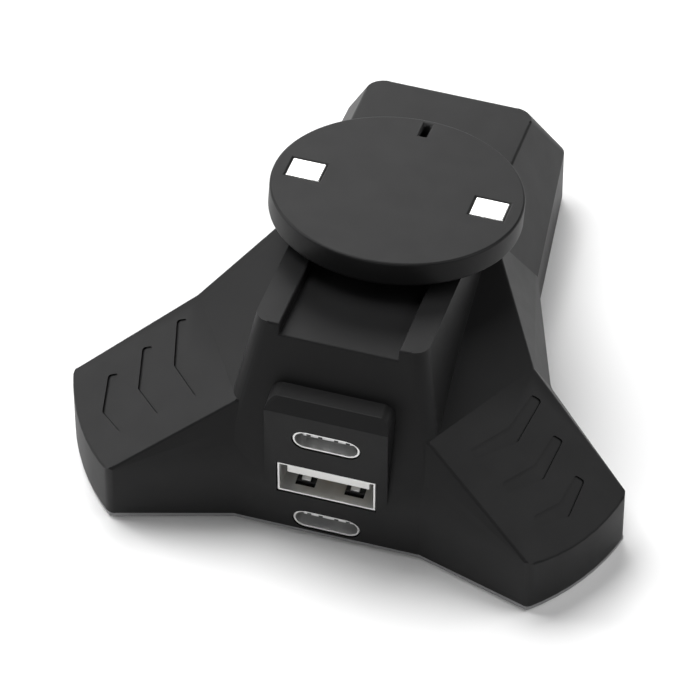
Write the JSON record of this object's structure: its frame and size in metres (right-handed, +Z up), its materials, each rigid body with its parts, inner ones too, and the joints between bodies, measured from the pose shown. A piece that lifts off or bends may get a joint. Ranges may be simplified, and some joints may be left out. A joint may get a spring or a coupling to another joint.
{
  "type": "mouse charging dock",
  "caption": "Low three-legged desktop dock with a tilted charging disc on a short neck and a front port panel with sockets.",
  "frame": {"origin": "middle of the outline's box, on the table under the feet", "axes": "+X to the viewer's right when the ports face the viewer, +Y toward the back leg, +Z up"},
  "size_m": [0.0744, 0.0727, 0.036],
  "materials": {
    "housing_plastic": "satin",
    "disc_plastic": "satin",
    "base_plastic": "satin",
    "foot_rubber": "matte",
    "ballast_steel": "zinc plated",
    "screw_steel": "zinc plated",
    "circuit_board": "solder mask",
    "spacer_brass": "turned",
    "connector_plastic": "moulded",
    "connector_metal": "nickel plated",
    "tongue_light": "moulded",
    "tongue_dark": "moulded",
    "contact_metal": "gold plated",
    "pad_metal": "nickel plated",
    "magnet_nickel": "nickel plated",
    "icon_plastic": "translucent inlay",
    "lamp_resin": "clear resin"
  },
  "bodies": {
    "root": {"top_shell": "housing_plastic", "base_plate": "base_plastic", "ballast_plate": "ballast_steel", "case_screws": "screw_steel", "foot_left": "foot_rubber", "foot_right": "foot_rubber", "foot_back": "foot_rubber", "main_board": "circuit_board", "upper_board": "circuit_board", "board_spacers": "spacer_brass", "board_screws": "screw_steel", "board_header": "connector_plastic", "usb_a_riser": "connector_plastic", "usb_a_shell": "connector_metal", "usb_a_tongue": "tongue_light", "usb_a_contacts": "contact_metal", "usb_c_upper_shell": "connector_metal", "usb_c_upper_tongue": "tongue_dark", "usb_c_lower_shell": "connector_metal", "usb_c_lower_tongue": "tongue_dark", "usb_c_contacts": "contact_metal", "disc_cap": "disc_plastic", "disc_cover": "disc_plastic", "disc_screws": "screw_steel", "neck_ring": "disc_plastic", "contact_board": "circuit_board", "contact_pad_left": "pad_metal", "contact_pad_right": "pad_metal", "holding_magnet": "magnet_nickel", "power_icon": "icon_plastic", "lamp_board": "circuit_board", "indicator_lamp": "lamp_resin"}
  },
  "joints": []
}
